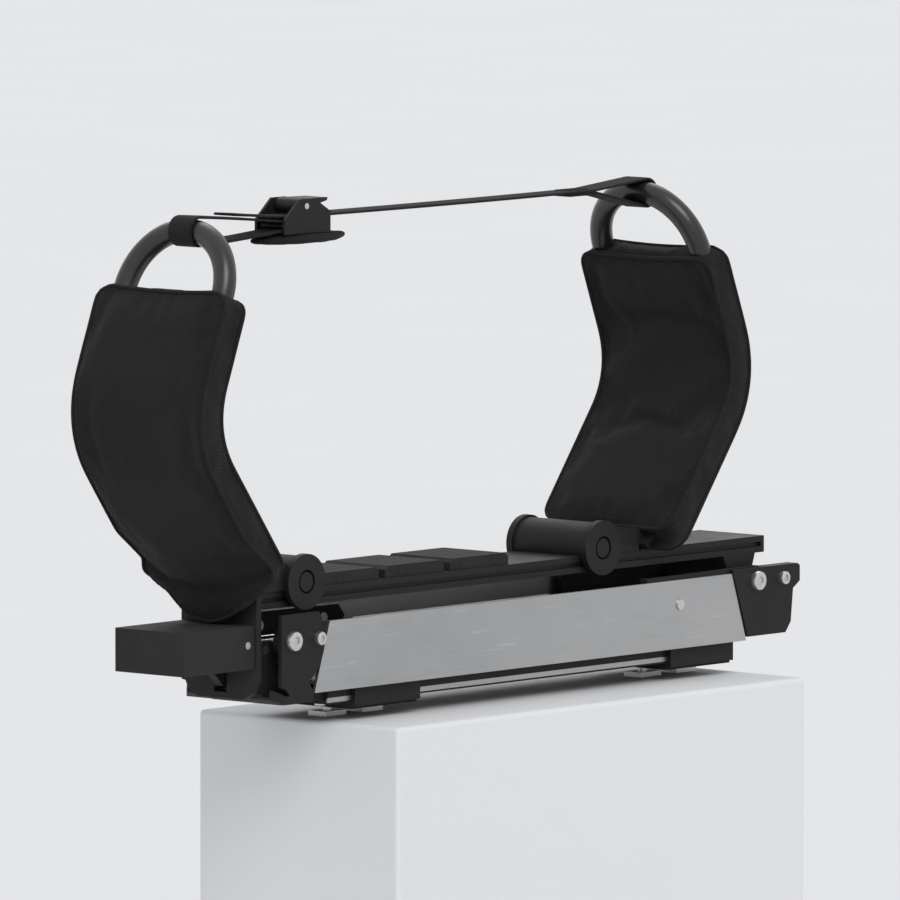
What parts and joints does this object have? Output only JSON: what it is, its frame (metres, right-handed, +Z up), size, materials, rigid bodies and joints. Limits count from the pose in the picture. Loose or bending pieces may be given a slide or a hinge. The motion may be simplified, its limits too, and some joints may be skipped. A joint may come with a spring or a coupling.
{
  "type": "lift-assist kayak carrier",
  "caption": "Crossbar-mounted kayak cradle with padded arms, on a sprung parallelogram arm that swings over the roof's edge and lowers level beside the vehicle.",
  "frame": {"origin": "on the crossbar's top plane, midway between the two feet and in the middle of the unit's width", "axes": "+X along the crossbar towards the vehicle's middle, +Y towards its rear, +Z up"},
  "size_m": [0.783, 0.144, 0.4312],
  "materials": {
    "black_plastic": "moulded, lightly grained",
    "cast_black": "powder coated casting",
    "black_metal": "satin black coat",
    "black_tube": "satin black tube",
    "silver": "satin anodised",
    "steel": "zinc plated",
    "rubber": "matte",
    "pad_cover": "woven cover over foam",
    "webbing": "woven webbing"
  },
  "bodies": {
    "base": {"seat_pads": "rubber", "foot_outboard": "cast_black", "foot_inboard": "cast_black", "t_bolts": "steel", "t_bolt_nuts": "steel", "base_rail": "black_metal", "rail_trims": "silver", "rail_end_cap": "black_plastic", "outboard_housing": "black_plastic", "tongue_screws": "steel", "stop_screws": "steel", "lift_pivot_pins": "steel", "control_pins": "steel", "strut_studs": "steel", "striker_plate": "black_metal", "rest_buffers": "rubber"},
    "lift_arm": {"lift_channel": "silver", "root_bars": "black_metal", "knuckle_front": "cast_black", "knuckle_rear": "cast_black", "channel_rivets": "steel", "arm_screws": "steel", "pivot_bushes": "rubber", "strut_bracket": "black_metal", "strut_pin": "steel", "cradle_pin": "steel", "knuckle_screws": "steel"},
    "control_links": {"control_link_front": "black_metal", "control_link_rear": "black_metal"},
    "strut_cylinders": {"strut_cylinder_front": "black_metal", "strut_cylinder_rear": "black_metal"},
    "strut_rods": {"strut_rod_front": "steel", "strut_rod_rear": "steel"},
    "cradle": {"cradle_hub": "cast_black", "cradle_bush": "rubber", "level_pin": "steel", "cradle_beam": "black_metal", "beam_end_cap": "black_plastic", "saddle_pads": "rubber", "arm_foot_outboard": "cast_black", "arm_foot_inboard": "cast_black", "arm_core_outboard": "black_metal", "arm_core_inboard": "black_metal", "arm_pad_outboard": "pad_cover", "arm_pad_inboard": "pad_cover", "arm_loop_outboard": "black_tube", "arm_loop_inboard": "black_tube", "clamp_discs": "black_plastic", "clamp_bolts": "black_metal", "arm_bolts": "steel", "lift_handle": "black_plastic", "release_pin": "steel", "release_spring": "steel", "strap_outboard": "webbing", "strap_main": "webbing", "buckle_frame": "black_metal", "cam_pin": "steel", "buckle_pad": "rubber"},
    "release_lever": {"release_lever": "black_plastic"},
    "cam_lever": {"cam_lever": "black_metal"}
  },
  "joints": [
    {"name": "lift", "type": "hinge", "parent": "base", "child": "lift_arm", "pos_m": [-0.33, 0, 0.064], "axis": [0, -1, 0], "range_deg": [0, 210]},
    {"name": "control_swing", "type": "hinge", "parent": "base", "child": "control_links", "pos_m": [-0.324, 0, 0.047], "axis": [0, -1, 0], "range_deg": [0, 210]},
    {"name": "level", "type": "hinge", "parent": "lift_arm", "child": "cradle", "pos_m": [0.264, 0, 0.069], "axis": [0, -1, 0], "range_deg": [-210, 0]},
    {"name": "strut_swing", "type": "hinge", "parent": "lift_arm", "child": "strut_cylinders", "pos_m": [0.09, 0, 0.056], "axis": [0, -1, 0], "range_deg": [-2.2, 0.1]},
    {"name": "strut_slide", "type": "slide", "parent": "strut_cylinders", "child": "strut_rods", "axis": [-1, 0, 0], "range_m": [-0.0262, 0.0006]},
    {"name": "release", "type": "hinge", "parent": "cradle", "child": "release_lever", "pos_m": [-0.366, 0, 0.062], "axis": [0, 1, 0], "range_deg": [0, 12], "stiffness_Nm_per_rad": 0.6, "springref_deg": -11.46},
    {"name": "cam", "type": "hinge", "parent": "cradle", "child": "cam_lever", "pos_m": [-0.26914, 0, 0.41601], "axis": [0, -1, 0], "range_deg": [0, 70], "stiffness_Nm_per_rad": 0.05, "springref_deg": -28.65}
  ],
  "couplings": [
    {"joint": "control_swing", "follows": "lift", "ratio": 1},
    {"joint": "level", "follows": "lift", "ratio": -1},
    {"joint": "strut_swing", "follows": "lift", "ratio": -0.01},
    {"joint": "strut_slide", "follows": "lift", "m_per_rad": -0.007}
  ]
}
